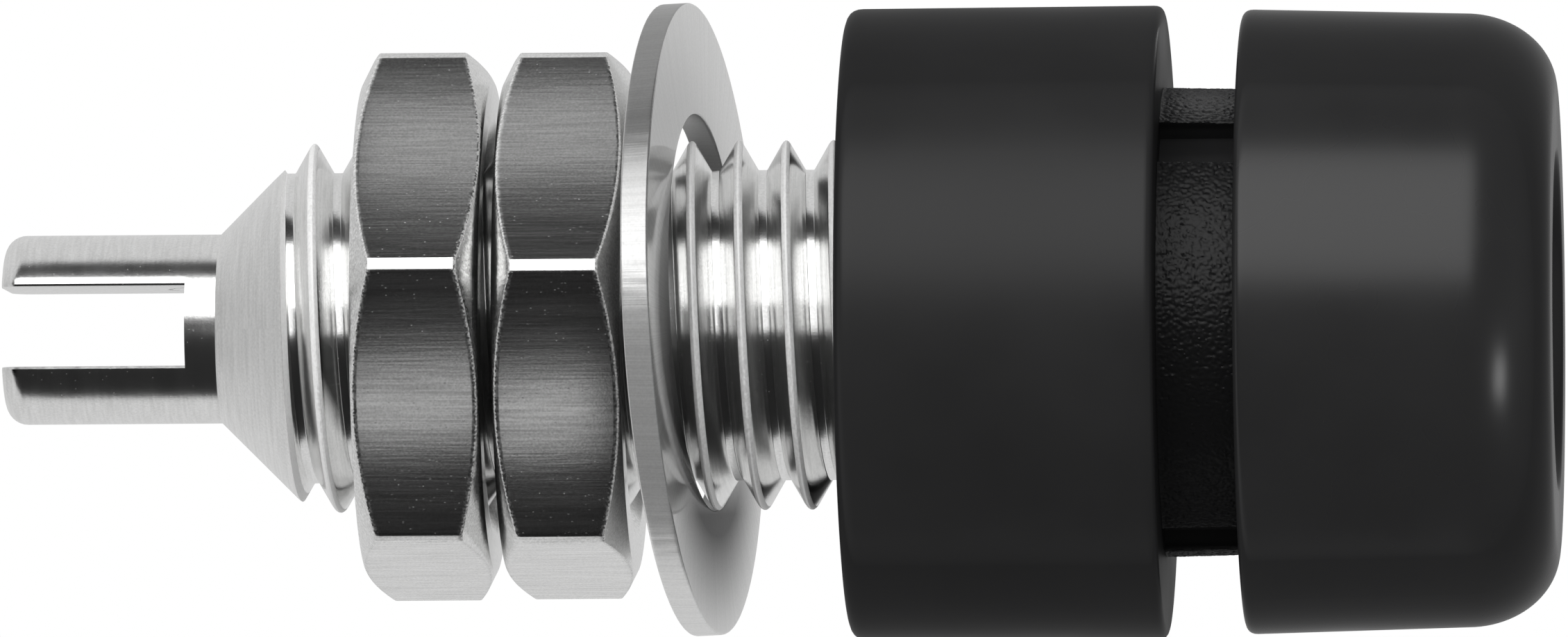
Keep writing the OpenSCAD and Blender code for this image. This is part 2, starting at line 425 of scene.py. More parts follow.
def contact_body(finish):
    """Turned contact: forked tail, cone, rolled thread, flange, nose and bore."""
    shell = Shell()
    low, high = box_mm("contact_body")
    tip_x, nose_x, flange_r = low[0], high[0], high[2]
    tail_r, thread_r = TAIL_D / 2, THREAD_D / 2
    tail_x = tip_x + TAIL_LEN
    slot_x = tip_x + SLOT_DEPTH
    half_slot = SLOT_W / 2
    turn = math.radians(SLOT_TURN)

    # Forked tail
    columns = 2 * (PRONG_COLUMNS + SLOT_COLUMNS)
    tip_rows = [(tip_x + TAIL_TIP_R * (1 - math.sin(a)), tail_r - TAIL_TIP_R * (1 - math.cos(a)))
                for a in np.linspace(0, math.pi / 2, TIP_ROWS)]
    prong_xs = np.linspace(slot_x, tip_rows[0][0], PRONG_ROWS)[:-1]
    stations = [(x, tail_r) for x in prong_xs] + tip_rows
    slot_rings = []
    for side in (1, -1):
        rows = [ring_at(turned(side * prong_loop(radius, half_slot, SLOT_EDGE, PRONG_COLUMNS), turn), x)
                for x, radius in stations]
        numbers = shell.loft(rows)
        shell.cap(numbers[-1])
        slot_rings.append(numbers[0])

    edge_angle = math.asin(half_slot / tail_r) + SLOT_EDGE / tail_r
    arc = np.linspace(edge_angle, math.pi - edge_angle, PRONG_COLUMNS)
    side_arc = np.linspace(math.pi - edge_angle, math.pi + edge_angle, SLOT_COLUMNS + 2)[1:-1]
    tail_angles = turn + np.concatenate([arc, side_arc, arc + math.pi, side_arc + math.pi])
    tail_rows = turned_rows([(tail_r, x) for x in np.linspace(slot_x, tail_x, TAIL_ROWS)], tail_angles)
    ring = shell.loft(tail_rows)[0]
    upper, lower = slot_rings
    floor = [upper[PRONG_COLUMNS - 1]] + ring[PRONG_COLUMNS:PRONG_COLUMNS + SLOT_COLUMNS] + [lower[0]]
    floor += list(reversed(lower[PRONG_COLUMNS:])) + [lower[PRONG_COLUMNS - 1]]
    floor += ring[2 * PRONG_COLUMNS + SLOT_COLUMNS:] + [upper[0]] + list(reversed(upper[PRONG_COLUMNS:]))
    shell.cap(floor)

    # Cone and thread: the rows follow the helix, so that crest and root are true lines
    angles = round_angles(columns, turn + edge_angle)
    outline, falling_middle = thread_outline()
    per_pitch = len(outline)
    crest_u = THREAD_CREST_AT_TOP - THREAD_PITCH / 4
    lead = THREAD_PITCH * angles / (2 * math.pi)
    start_u = tail_x + THREAD_START_GAP - lead[0]
    first_turn = math.floor((start_u - crest_u) / THREAD_PITCH)
    turns = math.ceil((THREAD_STOP_X - start_u) / THREAD_PITCH) + 1
    phases = np.concatenate([outline + [crest_u + (first_turn + i) * THREAD_PITCH, 0] for i in range(turns)])
    skipped = np.count_nonzero(phases[:, 0] < start_u)
    phases = phases[skipped:]
    phases = phases[:len(phases) - (len(phases) - 1) % per_pitch]
    fill_x = phases[-1, 0] + lead[0] - THREAD_FILL_LEN
    x = phases[:, :1] + lead
    filled = np.clip((x - fill_x) / THREAD_FILL_LEN, 0, 1)
    thread = phases[:, 1:] + (thread_r - phases[:, 1:]) * filled
    middles = np.arange(falling_middle - skipped % per_pitch, len(phases) - 1, per_pitch)
    snap_to_cone(x, thread, tail_r - tail_x, middles[middles > 0])
    r = soft_least(thread, tail_r - tail_x + x, CONE_EDGE)
    rows = list(np.stack([x, r * np.cos(angles), r * np.sin(angles)], axis=2))
    numbers = shell.loft(rows, closed=False)
    last = columns - 1
    for j in range(len(numbers) - per_pitch - 1):
        here, next_turn = numbers[j:j + 2], numbers[j + per_pitch:j + per_pitch + 2]
        shell.faces.append((here[0][last], next_turn[0][0], next_turn[1][0], here[1][last]))
    cone_rows = turned_rows([(tail_r, tail_x)], tail_angles)
    cone_rows += turned_rows([(tail_r + CONE_FOOT, tail_x + CONE_FOOT)], angles)
    cone = shell.loft(cone_rows)[-1]
    shank_x = rows[-1][-1, 0] + THREAD_END_GAP
    shank = shell.add(turned_rows([(thread_r, shank_x)], angles)[0])
    for k in range(last):
        shell.faces.append((cone[k], cone[k + 1], numbers[0][k + 1], numbers[0][k]))
        shell.faces.append((numbers[-1][k], numbers[-1][k + 1], shank[k + 1], shank[k]))
    shell.cap([cone[last], cone[0]] + [row[0] for row in numbers[:per_pitch + 1]] + [numbers[0][last]])
    shell.cap([numbers[-1][0], shank[0], shank[last]] + [row[last] for row in numbers[:-per_pitch - 2:-1]])

    # Flange, nose and bore
    bore_r = BORE_D / 2
    flange_rear = FLANGE_FRONT - FLANGE_T
    drill_len = (bore_r - DRILL_POINT_R) / math.tan(math.radians(DRILL_ANGLE / 2))
    section = soften([(thread_r, shank_x), (thread_r, flange_rear), (flange_r, flange_rear),
                      (flange_r, FLANGE_FRONT), (NOSE_D / 2, FLANGE_FRONT), (NOSE_D / 2, nose_x),
                      (bore_r + BORE_CHAMFER, nose_x), (bore_r, nose_x - BORE_CHAMFER), (bore_r, BORE_END_X),
                      (DRILL_POINT_R, BORE_END_X - drill_len)],
                     [0, 0, FLANGE_EDGE, FLANGE_EDGE, 0, NOSE_EDGE, BORE_EDGE, BORE_EDGE, 0, 0])
    shell.cap(shell.loft(turned_rows(section, angles))[-1])
    return shell.piece("turned_contact", "socket", "contact_body", "plated_contact", finish)


# Moulded head and rear bush

def keyed_loop(outer_r, floor_r, half_w, lip, arc_count, floor_count):
    """(y, z) points once round a circle with a flat-floored groove for each key."""
    reach = math.sqrt(outer_r ** 2 - half_w ** 2)
    lip_angle = math.asin(half_w / outer_r) + lip / outer_r
    pitch = 2 * math.pi / KEY_COUNT
    arc = [(outer_r * math.cos(a), outer_r * math.sin(a))
           for a in np.linspace(lip_angle, pitch - lip_angle, arc_count)]
    wall = as_pairs(soften([(reach - lip * 2, half_w), (reach, half_w), arc[0]], [0, lip, 0], hold=0)[:-1])
    groove = [(floor_r, y) for y in np.linspace(-half_w, half_w, floor_count)]
    up = spread((floor_r, half_w), wall[0], GROOVE_WALL_ROWS) + wall
    down = [(x, -y) for x, y in reversed(up)]
    one = np.array(down + groove + up + arc)
    points = []
    for i in range(KEY_COUNT):
        # Drawn along X, then laid along the axis: a key's own direction turns from straight down
        local = turned(one, math.radians(KEY_TURN) + i * pitch)
        points.append(np.stack([local[:, 1], -local[:, 0]], axis=1))
    return np.concatenate(points)


def loop_angles(loop):
    """The angles of a loop's own points round the axis, held where a groove's wall would turn them back."""
    angles = np.unwrap(np.arctan2(loop[:, 1], loop[:, 0]))
    way = np.sign(angles[-1] - angles[0])
    return way * np.maximum.accumulate(way * angles)


def head(finish):
    """Moulded head: drafted barrel with a rounded front, and a keyed recess behind."""
    shell = Shell()
    _, high = box_mm("head")
    _, contact_high = box_mm("contact_body")
    length, rear_r = high[0], high[2]
    front_r = HEAD_FRONT_D / 2
    round_x = length - HEAD_ROUND_LEN
    nose_r = NOSE_D / 2 + MOULD_CLEARANCE
    flange_r = contact_high[2] + MOULD_CLEARANCE
    flange_rear = FLANGE_FRONT - FLANGE_T
    shank_r = THREAD_D / 2 + MOULD_CLEARANCE
    recess_r = NECK_D / 2 + NECK_CLEARANCE
    key_floor_r = NECK_D / 2 - KEY_DEPTH + KEY_CLEARANCE
    loop = keyed_loop(recess_r, key_floor_r, KEY_W / 2 - KEY_CLEARANCE, KEY_LIP, RECESS_COLUMNS, KEY_COLUMNS)
    angles = loop_angles(loop)
    outside = soften([(recess_r + HEAD_REAR_LAND, 0), (rear_r, 0), (front_r, round_x)], [0, HEAD_EDGE_R, 0],
                     MOULD_EDGE_STEPS)[:-1]
    rounding = quarter_ellipse((front_r - HEAD_ROUND_DEPTH, round_x), (HEAD_ROUND_DEPTH, HEAD_ROUND_LEN),
                               HEAD_ROUND_STEPS)
    barrel = spread(outside[-1], rounding[0], BARREL_ROWS)
    inside = soften([(nose_r + HEAD_FRONT_LAND, length), (nose_r + MOUTH_CHAMFER, length),
                     (nose_r, length - MOUTH_CHAMFER), (nose_r, FLANGE_FRONT), (flange_r, FLANGE_FRONT),
                     (flange_r, flange_rear), (shank_r, flange_rear), (shank_r, RECESS_DEPTH)],
                    [0, MOUTH_EDGE, MOUTH_EDGE, 0, 0, 0, 0, 0])
    section = as_pairs(outside) + barrel + rounding + as_pairs(inside)
    rows = [ring_at(loop, x) for x in (RECESS_DEPTH, RECESS_DEPTH / 2, 0)] + turned_rows(section, angles)
    shell.loft(rows + [rows[0]])
    return shell.piece("moulded_head", "socket", "head", "black_plastic", finish)


def leather_grain(points, size, depth):
    """How far each point of the neck sinks in its grain from spark erosion."""
    grain = np.array([noise.fractal(Vector(p) / size, 1.0, 2.0, 3) for p in points])
    return depth * np.clip(GRAIN_LEVEL - grain, 0, GRAIN_LIMIT)


def rear_bush(finish):
    """Moulded rear bush: satin collar, and a grooved neck with a grain from spark erosion."""
    shell = Shell()
    low, high = box_mm("rear_bush")
    rear_x, neck_end_x, collar_r = low[0], high[0], high[2]
    front_x = -PANEL_GAP
    grain_end_x = GRAIN_PAST_GAP
    shank_r = THREAD_D / 2 + SHANK_CLEARANCE
    floor_r = NECK_D / 2 - KEY_DEPTH

    def neck_loop(x):
        radius = (NECK_D - NECK_DRAFT * (x - front_x) / (neck_end_x - front_x)) / 2
        return keyed_loop(radius, floor_r, KEY_W / 2, GROOVE_LIP, NECK_COLUMNS, GROOVE_COLUMNS)

    neck_rows = []
    for x in [*np.linspace(front_x, grain_end_x, GRAIN_ROWS),
              *np.linspace(grain_end_x, neck_end_x, PLAIN_NECK_ROWS)[1:]]:
        loop = neck_loop(x)
        points = ring_at(loop, x)
        radius = np.hypot(loop[:, 0], loop[:, 1])
        outer = np.clip((radius - floor_r - GRAIN_OVER_FLOOR) / GRAIN_SIDE_FADE, 0, 1)
        near = np.clip((x - front_x) / GRAIN_END_FADE, 0, 1) * np.clip((grain_end_x - x) / GRAIN_END_FADE, 0, 1)
        sink = leather_grain(points, GRAIN_SIZE, GRAIN_DEPTH) * outer * near
        points[:, 1:] *= (1 - sink / radius)[:, None]
        neck_rows.append(points)
    angles = loop_angles(neck_loop(front_x))
    rear_r = collar_r - COLLAR_DRAFT / 2
    inside = [(shank_r, neck_end_x), (shank_r, rear_x)]
    outside = soften([(shank_r, rear_x), (shank_r + COLLAR_REAR_LAND, rear_x), (rear_r, rear_x),
                      (collar_r, front_x), (NECK_D / 2 + COLLAR_FRONT_LAND, front_x)],
                     [0, 0, COLLAR_REAR_R, COLLAR_FRONT_R, 0], MOULD_EDGE_STEPS)
    rows = neck_rows + turned_rows(inside + as_pairs(outside[1:]), angles)
    shell.loft(rows + [rows[0]])
    return shell.piece("moulded_bush", "rear_bush", "rear_bush", "black_plastic", finish)


# Washer and nuts

def washer(finish):
    """Punched flat washer, lying loose and tilted on the thread."""
    shell = Shell()
    low, high = box_mm("washer")
    outer_r = WASHER_D / 2
    hole_r = THREAD_D / 2 + WASHER_CLEARANCE
    half_t = WASHER_T / 2
    in_hole = half_t - 2 * WASHER_HOLE_EDGE
    section = soften([(hole_r, -in_hole), (hole_r, -half_t), (outer_r, -half_t), (outer_r, half_t),
                      (hole_r, half_t), (hole_r, in_hole)],
                     [0, WASHER_HOLE_EDGE, WASHER_EDGE_R, WASHER_EDGE_R, WASHER_HOLE_EDGE, 0], WASHER_EDGE_STEPS)
    rows = turned_rows(section, round_angles(WASHER_COLUMNS))
    for row, r in zip(rows, section[:, 0]):
        if r < hole_r + WASHER_HOLE_LAND:
            row[:, 2] += WASHER_HOLE_UP
        elif r > outer_r - 2 * WASHER_EDGE_R:
            places = row / [WASHER_T, WASHER_SHEAR_SIZE, WASHER_SHEAR_SIZE]
            torn = np.array([noise.noise(Vector(p)) for p in places])
            row[:, 1:] *= (1 - WASHER_SHEAR_DEPTH * np.clip(torn + WASHER_SHEAR_LEVEL, 0, 1) / r)[:, None]
    shell.loft(rows + [rows[0]])
    swing = Matrix.Rotation(math.radians(-WASHER_SWING), 3, "Z")
    tilt = swing @ Matrix.Rotation(math.radians(-WASHER_LEAN), 3, "Y")
    centre = (low + high) / 2
    shell.points = [np.array(tilt @ Vector(p)) + centre for p in shell.points]
    return shell.piece("flat_washer", "washer", "washer", "plated_washer", finish)


def hex_nut(name, node, turn, finish):
    """Hexagon nut: brushed flats, chamfered ends with a burred edge, and a countersunk hole."""
    shell = Shell()
    low, high = box_mm(node)
    rear_x, front_x = low[0], high[0]
    half_af = NUT_AF / 2
    corner_r = half_af / math.cos(math.radians(30)) - NUT_CORNER_STEP / 2
    flat_half = math.acos(half_af / corner_r)
    corner_gap = math.radians(60) - 2 * flat_half
    flat = np.arctan(np.linspace(-1, 1, FLAT_COLUMNS) * math.tan(flat_half))
    corner = flat_half + corner_gap * np.array([0.25, 0.5, 0.75])
    middles = np.radians(turn + 30 + 60 * np.arange(6))
    directions = np.concatenate([middle + np.concatenate([flat, corner]) for middle in middles])
    radii = np.tile(np.concatenate([half_af / np.cos(flat), np.full(len(corner), corner_r)]), 6)
    face_r = half_af - NUT_FACE_STEP / 2
    hole_r = THREAD_D / 2 + NUT_CLEARANCE
    rise = (radii - face_r) * math.tan(math.radians(NUT_CHAMFER))
    rear_edge, front_edge = rear_x + rise, front_x - rise
    outline = [(hole_r, rear_x + NUT_SINK), (hole_r + NUT_SINK, rear_x), (face_r, rear_x), (radii, rear_edge),
               (radii, front_edge), (face_r, front_x), (hole_r + NUT_SINK, front_x), (hole_r, front_x - NUT_SINK)]
    outline = np.stack([np.stack(np.broadcast_arrays(r, x, radii)[:2], axis=1) for r, x in outline], axis=1)
    profile = soften(outline, [0, NUT_SINK_EDGE, NUT_FACE_EDGE, NUT_EDGE, NUT_EDGE, NUT_FACE_EDGE, NUT_SINK_EDGE, 0])
    rows, wear = [], []
    for r, x in np.moveaxis(profile, (1, 2), (0, 1)):
        from_edge = np.minimum(np.hypot(r - radii, x - rear_edge), np.hypot(r - radii, x - front_edge))
        row = np.stack([x, r * np.sin(directions), -r * np.cos(directions)], axis=1)
        burr = np.array([max(0, noise.noise(Vector(p))) for p in row / BURR_SIZE])
        row[:, 1:] *= (1 - BURR_DEPTH * burr * np.clip(1 - from_edge / NUT_EDGE, 0, 1) / r)[:, None]
        rows.append(row)
        wear.append(np.clip(BURR_WEAR - from_edge / NUT_EDGE, 0, 1))
    shell.loft(rows + [rows[0]], wear=wear + [wear[0]])
    return shell.piece(name, node, node, "plated_nut", finish)


# Shader nodes

def add_node(tree, kind, inputs=None, **settings):
    """Adds a shader node. Inputs are plain values or the sockets that feed them."""
    made = tree.nodes.new("ShaderNode" + kind)
    for key, value in settings.items():
        setattr(made, key, value)
    for key, value in (inputs or {}).items():
        if isinstance(value, bpy.types.NodeSocket):
            tree.links.new(value, made.inputs[key])
        else:
            made.inputs[key].default_value = value
    return made


def value_of(tree, operation, *values):
    """The result of a math node."""
    return add_node(tree, "Math", dict(enumerate(values)), operation=operation).outputs[0]


def times(tree, a, b):
    """The product of two values."""
    return value_of(tree, "MULTIPLY", a, b)


def ranged(tree, value, low, high, limits=(0.3, 0.7), kind="LINEAR"):
    """Runs from low to high while a value runs between its limits."""
    return add_node(tree, "MapRange", {"Value": value, "From Min": limits[0], "From Max": limits[1],
                                       "To Min": low, "To Max": high}, interpolation_type=kind).outputs[0]


def ranged_mm(tree, length, low, high, limits, kind="LINEAR"):
    """The same for a length, with its limits in millimetres."""
    return ranged(tree, length, low, high, [limit * MM for limit in limits], kind)


def mixed_colour(tree, factor, first, second):
    """A colour between two others, each of them a socket or three numbers."""
    first, second = ((*colour, 1) if isinstance(colour, tuple) else colour for colour in (first, second))
    return add_node(tree, "Mix", {"Factor": factor, "A": first, "B": second}, data_type="RGBA").outputs["Result"]


def object_place(tree):
    """Sockets for the place on a piece, and for its way along the axis, towards the back and up."""
    place = add_node(tree, "TexCoord").outputs["Object"]
    along, back, up = add_node(tree, "SeparateXYZ", {0: place}).outputs
    return place, along, back, up


def from_axis(tree, back, up):
    """The distance from the axis."""
    return value_of(tree, "SQRT", value_of(tree, "ADD", times(tree, back, back), times(tree, up, up)))


def axis_distance(tree):
    """The distance from the axis of a place on a piece."""
    _, _, back, up = object_place(tree)
    return from_axis(tree, back, up)


def new_group(name, inputs, outputs):
    """An empty shader node group with number sockets: its tree, its inputs and its outputs."""
    tree = bpy.data.node_groups.new(name, "ShaderNodeTree")
    for label, default in inputs.items():
        socket = tree.interface.new_socket(label, in_out="INPUT", socket_type="NodeSocketFloat")
        socket.default_value = default
    for label in outputs:
        tree.interface.new_socket(label, in_out="OUTPUT", socket_type="NodeSocketFloat")
    return tree, tree.nodes.new("NodeGroupInput").outputs, tree.nodes.new("NodeGroupOutput").inputs


def place_group(tree, group, **inputs):
    """Places a node group in a material and returns its outputs."""
    made = tree.nodes.new("ShaderNodeGroup")
    made.node_tree = group
    for key, value in inputs.items():
        made.inputs[key.replace("_", " ").title()].default_value = value
    return made.outputs


def tool_marks_group():
    """Fine lines left by a tool: closely spaced one way and drawn out the other way."""
    tree, given, put = new_group("tool_marks", {"Along Scale": 1000, "Across Scale": 1000, "Turn Scale": 1,
                                                "Flat Scale": 0}, ["Height", "Coarse"])
    place, along, back, up = object_place(tree)
    across, turn = from_axis(tree, back, up), value_of(tree, "ARCTAN2", up, back)
    round_axis = add_node(tree, "CombineXYZ", {0: times(tree, along, given["Along Scale"]),
                                               1: times(tree, across, given["Across Scale"]),
                                               2: times(tree, turn, given["Turn Scale"])}).outputs[0]
    flat = add_node(tree, "CombineXYZ", {0: 0.0, 1: given["Flat Scale"], 2: given["Flat Scale"]}).outputs[0]
    flat = add_node(tree, "VectorMath", {0: place, 1: flat}, operation="MULTIPLY").outputs[0]
    spot = add_node(tree, "VectorMath", {0: round_axis, 1: flat}, operation="ADD").outputs[0]
    for label, scale, detail in (("Height", 1.0, 1.0), ("Coarse", COARSE_SHARE, 2.0)):
        lines = add_node(tree, "TexNoise", {"Vector": spot, "Scale": scale, "Detail": detail, "Roughness": 0.5})
        tree.links.new(lines.outputs[0], put[label])
    return tree


def grain_group():
    """Fine grain, slow cloudiness and scattered specks. The draw stretches the specks along the axis."""
    tree, given, put = new_group("grain", {"Fine Scale": 20000, "Slow Scale": 800, "Speck Scale": 9000,
                                           "Speck Share": 0.12, "Speck Draw": 1.0}, ["Fine", "Slow", "Specks"])
    place = add_node(tree, "TexCoord").outputs["Object"]
    for label in ("Fine", "Slow"):
        cloud = add_node(tree, "TexNoise", {"Vector": place, "Scale": given[label + " Scale"], "Detail": 3.0})
        tree.links.new(cloud.outputs[0], put[label])
    draw = add_node(tree, "CombineXYZ", {0: given["Speck Draw"], 1: 1.0, 2: 1.0}).outputs[0]
    drawn = add_node(tree, "VectorMath", {0: place, 1: draw}, operation="MULTIPLY").outputs[0]
    dots = add_node(tree, "TexVoronoi", {"Vector": drawn, "Scale": given["Speck Scale"], "Randomness": 1.0})
    chance = add_node(tree, "SeparateColor", {0: dots.outputs["Color"]}).outputs[0]
    near = ranged(tree, dots.outputs["Distance"], 1, 0, SPECK_EDGE)
    specks = times(tree, near, value_of(tree, "LESS_THAN", chance, given["Speck Share"]))
    tree.links.new(specks, put["Specks"])
    return tree


# Places on the pieces, as masks

def beads(tree, place, least):
    """Bead-like grain, from least to 1, for worn edges."""
    grains = add_node(tree, "TexNoise", {"Vector": place, "Scale": FINE_SCALE, "Detail": 0.0}).outputs[0]
    return ranged(tree, grains, least, 1, BEAD_RANGE)


def facing_along(tree):
    """How far the surface faces along the axis, from -1 to 1."""
    return add_node(tree, "SeparateXYZ", {0: add_node(tree, "TexCoord").outputs["Normal"]}).outputs[0]


def crest_wear_and_highlight_mask(tree):
    """Up to 1, in beads, on the thread's worn crest and just behind the edge of the cone's cut, else 0. The crest is
    duller there as worn metal, and its colour is whitened there as a painted highlight of the crest lines and the
    cone's cut edge.
    """
    place, along, back, up = object_place(tree)
    across = from_axis(tree, back, up)
    crest = ranged_mm(tree, across, 0, 1, [THREAD_D / 2 - depth for depth in CREST_WEAR_AND_HIGHLIGHT_DEPTH])
    low, _ = box_mm("contact_body")
    cone_start = TAIL_D / 2 - low[0] - TAIL_LEN
    over = value_of(tree, "SUBTRACT", value_of(tree, "SUBTRACT", across, along), cone_start * MM)
    reach = value_of(tree, "ADD", over, ranged(tree, facing_along(tree), 0, FLANK_WEAR_AND_HIGHLIGHT * MM, FLANK_FACING))
    edge = times(tree, ranged_mm(tree, reach, 0, 1, CONE_WEAR_AND_HIGHLIGHT_START), ranged_mm(tree, over, 1, 0, CONE_WEAR_AND_HIGHLIGHT_END))
    return times(tree, value_of(tree, "MAXIMUM", crest, edge), beads(tree, place, THREAD_BEADS))


def tail_mask(tree):
    """1 on the solder tail and its cone, which are left as turned, and 0 on the thread."""
    _, along, _, _ = object_place(tree)
    return ranged_mm(tree, along, 1, 0, TAIL_FINISH_X)


def streak_mask(tree):
    """1 on the tail and the cone, where turning lines are plain, and less on the rolled thread."""
    return ranged(tree, tail_mask(tree), THREAD_LINES, 1, (0, 1))


def edge_mask(tree):
    """Up to 1, in beads, along the nuts' burred edges and 0 elsewhere."""
    worn = add_node(tree, "Attribute", attribute_name="edge_wear").outputs["Fac"]
    return times(tree, worn, beads(tree, add_node(tree, "TexCoord").outputs["Object"], BURR_BEADS))


def rim_mask(tree):
    """1 on the washer's sheared rim and in its hole, and 0 on its faces."""
    return ranged(tree, value_of(tree, "ABSOLUTE", facing_along(tree)), 1, 0, RIM_FACING)


def face_mask(tree):
    """1 on the washer's faces and 0 on its sheared rim and in its hole."""
    return value_of(tree, "SUBTRACT", 1.0, rim_mask(tree))


def hole_ring(tree, widths):
    """1 on the washer round its hole and 0 further out."""
    hole_r = THREAD_D / 2 + WASHER_CLEARANCE
    return ranged_mm(tree, axis_distance(tree), 1, 0, [hole_r + width for width in widths])


def painted_shade_mask(tree):
    """1 where the washer is painted dark: painted shade high on its rim and in its hole, and a painted shadow of the
    thread on its face round the hole, strongest below the hole.
    """
    _, _, _, up = object_place(tree)
    # Painted shade high on the rim and on the hole's wall.
    high = ranged_mm(tree, up, 0, 1, RIM_SHADE_HEIGHT)
    sheared = times(tree, rim_mask(tree), value_of(tree, "MAXIMUM", high, hole_ring(tree, HOLE_WALL_SHADE_RING)))
    low = ranged_mm(tree, up, 1, THREAD_SHADOW_LEAST, THREAD_SHADOW_HEIGHT)
    # Painted shadow of the thread on the face round the hole, darker towards the bottom.
    thread_shadow = times(tree, times(tree, low, hole_ring(tree, THREAD_SHADOW_RING)), face_mask(tree))
    return value_of(tree, "MAXIMUM", times(tree, sheared, RIM_AND_HOLE_SHADE), thread_shadow)


def bright_face(tree):
    """1 where the washer's face is bright, less where it is dull, below the hole, and 0 on its sheared rim."""
    _, _, _, up = object_place(tree)
    below = ranged_mm(tree, up, 1, 0, DULL_HEIGHT)
    bright = ranged(tree, times(tree, below, hole_ring(tree, THREAD_SHADOW_RING)), 1, DULL_LEAST, (0, 1))
    return times(tree, bright, face_mask(tree))


def neck_mask(tree):
    """1 on the bush's neck, grained by spark erosion, and 0 on its collar and in its grooves: where the neck's
    painted shade goes.
    """
    across = axis_distance(tree)
    within = ranged_mm(tree, across, 1, 0, [NECK_D / 2 + width for width in NECK_SHADE_OUT])
    return times(tree, within, ranged_mm(tree, across, 0, 1, [NECK_D / 2 + width for width in NECK_SHADE_IN]))


# Finishes

def new_finish(name):
    """A material with a principled shader, its tree and its shader node."""
    finish = bpy.data.materials.new(name)
    finish.use_nodes = True
    tree = finish.node_tree
    return finish, tree, tree.nodes["Principled BSDF"]


def bump_into(tree, shader, height, depth, normal=None):
    """Feeds relief of a depth in millimetres to a shader's normal."""
    inputs = {"Height": height, "Distance": depth * MM, "Strength": 1.0}
    if normal is not None:
        inputs["Normal"] = normal
    bump = add_node(tree, "Bump", inputs)
    tree.links.new(bump.outputs[0], shader.inputs["Normal"])
    return bump.outputs[0]


def plated_metal(name, marks, grain, dark, pale, roughness, lines, line_depth, grains, grain_depth, dull,
                 ripple_depth=None, line_mask=None, painted_light=None, coat=None):
    """Nickel plate over cut brass: a neutral metal with tool marks, slow ripples, plating specks and dull places.
    Each dull place is a mask, the roughness that it adds and the metal that it leaves. Painted light is a mask and
    the colour painted there, a painted highlight or painted shade, and a coat is a mask, its roughness and its
    refractive index."""
    finish, tree, shader = new_finish(name)
    drawn = place_group(tree, marks, **lines)
    spots = place_group(tree, grain, fine_scale=FINE_SCALE, **grains)
    streaks = times(tree, value_of(tree, "ADD", drawn["Height"], spots["Fine"]), 0.5)
    colour = mixed_colour(tree, ranged(tree, streaks, 0, 1, STREAK_RANGE), dark, pale)
    # Painted light: a painted highlight or painted shade mixed into the base colour.
    if painted_light:
        painted_light_of, painted_light_colour = painted_light
        colour = mixed_colour(tree, painted_light_of(tree), colour, painted_light_colour)
    tree.links.new(colour, shader.inputs["Base Color"])
    gloss = ranged(tree, drawn["Coarse"], *roughness)
    metal = 1.0
    places = [(spots["Specks"], SPECK_ROUGHNESS, SPECK_METAL)] + [(mask(tree), *rest) for mask, *rest in dull]
    for place, extra_roughness, metallic in places:
        gloss = value_of(tree, "ADD", gloss, ranged(tree, place, 0, extra_roughness, (0, 1)))
        metal = value_of(tree, "MINIMUM", metal, ranged(tree, place, 1, metallic, (0, 1)))
    tree.links.new(metal, shader.inputs["Metallic"])
    tree.links.new(gloss, shader.inputs["Roughness"])
    if coat:
        coat_of, coat_roughness, coat_index = coat
        tree.links.new(coat_of(tree), shader.inputs["Coat Weight"])
        shader.inputs["Coat Roughness"].default_value = coat_roughness
        shader.inputs["Coat IOR"].default_value = coat_index
    height = times(tree, drawn["Height"], line_mask(tree)) if line_mask else drawn["Height"]
    relief = bump_into(tree, shader, height, line_depth)
    relief = bump_into(tree, shader, spots["Fine"], grain_depth, relief)
    if ripple_depth:
        bump_into(tree, shader, spots["Slow"], ripple_depth, relief)
    return finish


def black_moulding(name, grain, dark, pale, roughness, gloss, fine_depth, neck_shade=None):
    """Satin black plastic as it leaves the mould. Given a neck mask, its colour is painted darker there: painted
    shade of the recess between the collar and the head.
    """
    finish, tree, shader = new_finish(name)
    spots = place_group(tree, grain, fine_scale=FINE_SCALE, slow_scale=MOULD_CLOUD_SCALE)
    colour = mixed_colour(tree, ranged(tree, spots["Slow"], 0, 1), dark, pale)
    # The neck is painted darker, as the shade of its recess between the collar and the head.
    if neck_shade:
        colour = mixed_colour(tree, neck_shade(tree), colour, NECK_SHADE_BLACK)
    tree.links.new(colour, shader.inputs["Base Color"])
    tree.links.new(ranged(tree, spots["Slow"], *roughness), shader.inputs["Roughness"])
    edge_on = add_node(tree, "LayerWeight", {"Blend": 0.5}).outputs["Facing"]
    shader.inputs["Specular IOR Level"].default_value = gloss
    tree.links.new(ranged(tree, edge_on, gloss, EDGE_GLOSS, EDGE_GLOSS_RANGE), shader.inputs["Specular IOR Level"])
    bump_into(tree, shader, spots["Fine"], fine_depth)
    return finish


# Studio

def direction(azimuth, elevation):
    """The way from the object to a place round it: from the front at 0, and from the right at 90."""
    a, e = math.radians(azimuth), math.radians(elevation)
    return Vector((math.sin(a) * math.cos(e), -math.cos(a) * math.cos(e), math.sin(e)))


def photo_camera():
    """A long lens at the photograph's angle, rolled as the photograph is."""
    data = bpy.data.cameras.new("camera")
    data.sensor_width = SENSOR_W
    data.lens = SENSOR_W * CAMERA_DISTANCE * PIXELS_PER_MM / PHOTO_W
    data.clip_start, data.clip_end = (length * MM for length in CAMERA_CLIP)
    camera = bpy.data.objects.new("camera", data)
    bpy.context.scene.collection.objects.link(camera)
    back = direction(CAMERA_AZIMUTH, CAMERA_ELEVATION)
    camera.location = (Vector(AIM) + back * CAMERA_DISTANCE) * MM
    camera.rotation_mode = "QUATERNION"
    facing = (-back).to_track_quat("-Z", "Y").to_matrix()
    rolled = facing @ Matrix.Rotation(math.radians(-CAMERA_ROLL), 3, "Z")
    camera.rotation_quaternion = rolled.to_quaternion()
    bpy.context.scene.camera = camera


